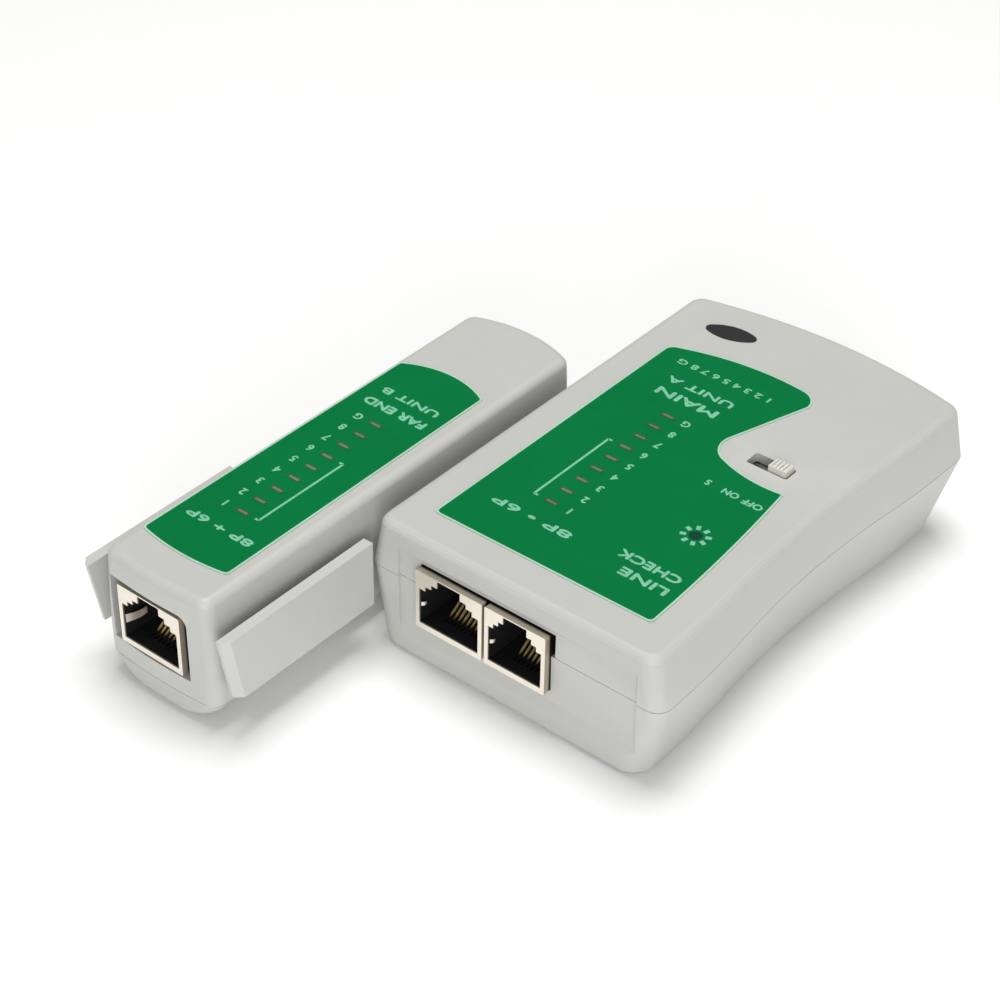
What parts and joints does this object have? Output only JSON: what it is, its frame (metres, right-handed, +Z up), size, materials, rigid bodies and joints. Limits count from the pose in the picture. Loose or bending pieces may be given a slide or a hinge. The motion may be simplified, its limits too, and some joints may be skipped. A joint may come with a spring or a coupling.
{
  "type": "network cable tester",
  "caption": "Two-piece handheld tester for network and telephone cables: a waisted master box with twin jacks, lamp column and slide switch, and a slim remote unit with side wings.",
  "frame": {"origin": "centre of the master unit's flat underside", "axes": "+Z up; +Y along the case, from the jacks to the arched rear end; +X towards the waisted side. The remote unit stands beside the straight side, ahead of the master, as stored and as used side by side."},
  "size_m": [0.1026, 0.1464, 0.0308],
  "materials": {
    "case_plastic": "fine satin moulded ABS, warm light grey",
    "label_green": "satin printed polyester overlay, emerald green",
    "badge_black": "satin black printed oval",
    "jack_metal": "bright nickel-plated folded sheet",
    "jack_black": "black moulded nylon",
    "contact_gold": "gold-plated spring wire",
    "switch_metal": "tin-plated steel",
    "knob_plastic": "moulded grey plastic",
    "led_lens": "unlit tinted diffuse lens",
    "power_led_lens": "unlit green diffuse lens",
    "board_green": "solder-masked glass-epoxy board",
    "chip_black": "moulded epoxy package",
    "resistor_body": "lacquered resistor body",
    "diode_body": "glass diode body",
    "capacitor_sleeve": "shrink sleeve on an aluminium can",
    "battery_case": "printed metal jacket, plain",
    "lead_red": "red PVC insulation",
    "lead_black": "black PVC insulation",
    "screw_steel": "zinc-plated steel"
  },
  "bodies": {
    "master": {"master_top_cover": "case_plastic", "master_bottom_case": "case_plastic", "master_label": "label_green", "master_badge": "badge_black", "rj45_jack_shield": "jack_metal", "rj45_jack_housing": "jack_black", "rj45_jack_contacts": "contact_gold", "rj11_jack_shield": "jack_metal", "rj11_jack_housing": "jack_black", "rj11_jack_contacts": "contact_gold", "power_switch_can": "switch_metal", "master_leds": "led_lens", "master_power_led": "power_led_lens", "master_circuit_board": "board_green", "timer_chip": "chip_black", "counter_chip": "chip_black", "resistors": "resistor_body", "diodes": "diode_body", "capacitors": "capacitor_sleeve", "battery": "battery_case", "battery_terminals": "switch_metal", "battery_snap_connector": "jack_black", "battery_lead_red": "lead_red", "battery_lead_black": "lead_black", "case_screws": "screw_steel", "board_screws": "screw_steel"},
    "battery_door": {"battery_door": "case_plastic"},
    "power_switch_knob": {"power_switch_knob": "knob_plastic"},
    "remote": {"remote_top_cover": "case_plastic", "remote_base": "case_plastic", "remote_label": "label_green", "remote_jack_shield": "jack_metal", "remote_jack_housing": "jack_black", "remote_jack_contacts": "contact_gold", "remote_leds": "led_lens", "remote_circuit_board": "board_green", "remote_resistors": "resistor_body", "remote_screws": "screw_steel"}
  },
  "joints": [
    {"name": "power_switch_slide", "type": "slide", "parent": "master", "child": "power_switch_knob", "axis": [-1, 0, 0], "range_m": [0, 0.0042]},
    {"name": "battery_door_slide", "type": "slide", "parent": "master", "child": "battery_door", "axis": [0, 1, 0], "range_m": [0, 0.065]},
    {"name": "remote_lift", "type": "slide", "parent": "master", "child": "remote", "axis": [0, 0, 1], "range_m": [0, 0.08]}
  ]
}
